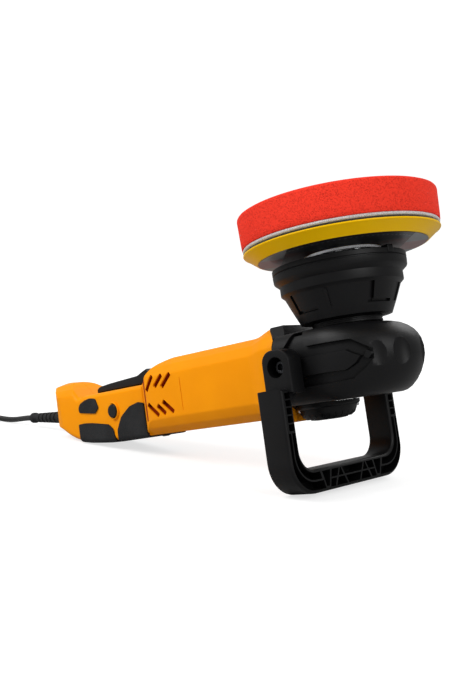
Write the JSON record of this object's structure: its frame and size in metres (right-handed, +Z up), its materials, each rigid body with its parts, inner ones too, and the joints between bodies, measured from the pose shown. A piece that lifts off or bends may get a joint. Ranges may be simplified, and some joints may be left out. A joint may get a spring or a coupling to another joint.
{
  "type": "corded dual-action polisher",
  "caption": "Corded dual-action polisher resting on its D-handle and grip heel: black angle head and shroud, orange motor body and rear grip, yellow backing plate, red foam pad.",
  "frame": {"origin": "centre of the bounding box at the bench surface, measured without the lead", "axes": "+X from the lead end to the head, level with the bench; +Z up; the tool is pitched nose-up 11.5 degrees, and +Y is across it"},
  "size_m": [0.6448, 0.2081, 0.228],
  "materials": {
    "black_plastic": "fine spark texture",
    "orange_plastic": "satin",
    "black_rubber": "matt",
    "bright_steel": "turned",
    "dark_steel": "oiled",
    "cast_aluminium": "as cast",
    "copper": "enamelled wire and brass",
    "carbon": "pressed carbon",
    "yellow_plastic": "satin",
    "label_black": "printed film",
    "hook_black": "hook tape",
    "loop_white": "loop pile",
    "foam_red": "open-cell foam",
    "board_green": "lacquered board"
  },
  "bodies": {
    "root": {"gear_housing": "black_plastic", "head_cover": "black_plastic", "cover_screw_1": "bright_steel", "cover_screw_2": "bright_steel", "bearing_plate": "cast_aluminium", "front_armature_bearing": "bright_steel", "upper_spindle_bearing": "bright_steel", "lower_spindle_bearing": "bright_steel", "bearing_collar": "cast_aluminium", "shroud": "black_plastic", "motor_housing": "orange_plastic", "stator_core": "dark_steel", "upper_field_coil": "copper", "lower_field_coil": "copper", "rear_bearing_bracket": "black_plastic", "rear_armature_bearing": "bright_steel", "left_brush_holder": "copper", "right_brush_holder": "copper", "left_carbon_brush": "carbon", "right_carbon_brush": "carbon", "left_grip_half": "orange_plastic", "right_grip_half": "orange_plastic", "grip_screw_1": "bright_steel", "grip_screw_2": "bright_steel", "left_heel_rubber": "black_rubber", "right_heel_rubber": "black_rubber", "palm_rubber": "black_rubber", "front_rubber": "black_rubber", "trigger_switch": "black_plastic", "speed_board": "board_green", "trigger_spring": "bright_steel", "cord_clamp": "black_plastic", "left_handle_bolt": "bright_steel", "right_handle_bolt": "bright_steel", "strain_relief": "black_rubber", "cord_tube": "black_rubber", "cord_coil": "black_rubber", "cord_tail": "black_rubber", "plug": "black_rubber"},
    "armature": {"armature_shaft": "bright_steel", "armature_core": "dark_steel", "commutator": "copper", "cooling_fan": "black_plastic", "bevel_pinion": "dark_steel"},
    "spindle_unit": {"spindle": "bright_steel", "bevel_wheel": "dark_steel", "eccentric_carrier": "cast_aluminium", "carrier_bearing": "bright_steel"},
    "pad_unit": {"pad_shaft": "bright_steel", "plate_hub": "bright_steel", "label_disc": "label_black", "backing_plate": "yellow_plastic", "pad_bolt": "bright_steel", "hook_layer": "hook_black", "loop_layer": "loop_white", "foam_pad": "foam_red"},
    "handle": {"d_handle": "black_plastic"},
    "trigger_paddle": {"trigger": "black_plastic"},
    "lock_knob": {"lock_button": "black_plastic"},
    "dial_wheel": {"speed_dial": "black_plastic"}
  },
  "joints": [
    {"name": "armature_spin", "type": "hinge", "parent": "root", "child": "armature", "pos_m": [0.04968, -0.0014, 0.06691], "axis": [0.98, 0, 0.199], "continuous": true},
    {"name": "spindle_spin", "type": "hinge", "parent": "root", "child": "spindle_unit", "pos_m": [0.1829, -0.0014, 0.11437], "axis": [-0.199, 0, 0.98], "continuous": true},
    {"name": "pad_spin", "type": "hinge", "parent": "spindle_unit", "child": "pad_unit", "pos_m": [0.17906, 0, 0.1544], "axis": [-0.199, 0, 0.98], "continuous": true},
    {"name": "d_handle_tilt", "type": "hinge", "parent": "root", "child": "handle", "pos_m": [0.16256, -0.0014, 0.09391], "axis": [0, 1, 0], "range_deg": [-35, 35]},
    {"name": "trigger_press", "type": "hinge", "parent": "root", "child": "trigger_paddle", "pos_m": [-0.11589, -0.0014, 0.04809], "axis": [0, 1, 0], "range_deg": [0, 4], "stiffness_Nm_per_rad": 1, "springref_deg": -4.58, "deforming": ["trigger_spring"]},
    {"name": "lock_button_press", "type": "slide", "parent": "root", "child": "lock_knob", "axis": [0, 1, 0], "range_m": [0, 0.002], "stiffness_N_per_m": 300, "springref_m": -0.003},
    {"name": "speed_dial_turn", "type": "hinge", "parent": "root", "child": "dial_wheel", "pos_m": [-0.0259, -0.0014, 0.02452], "axis": [0, 1, 0], "range_deg": [-140, 140]}
  ],
  "couplings": [
    {"joint": "spindle_spin", "follows": "armature_spin", "ratio": -0.25}
  ]
}
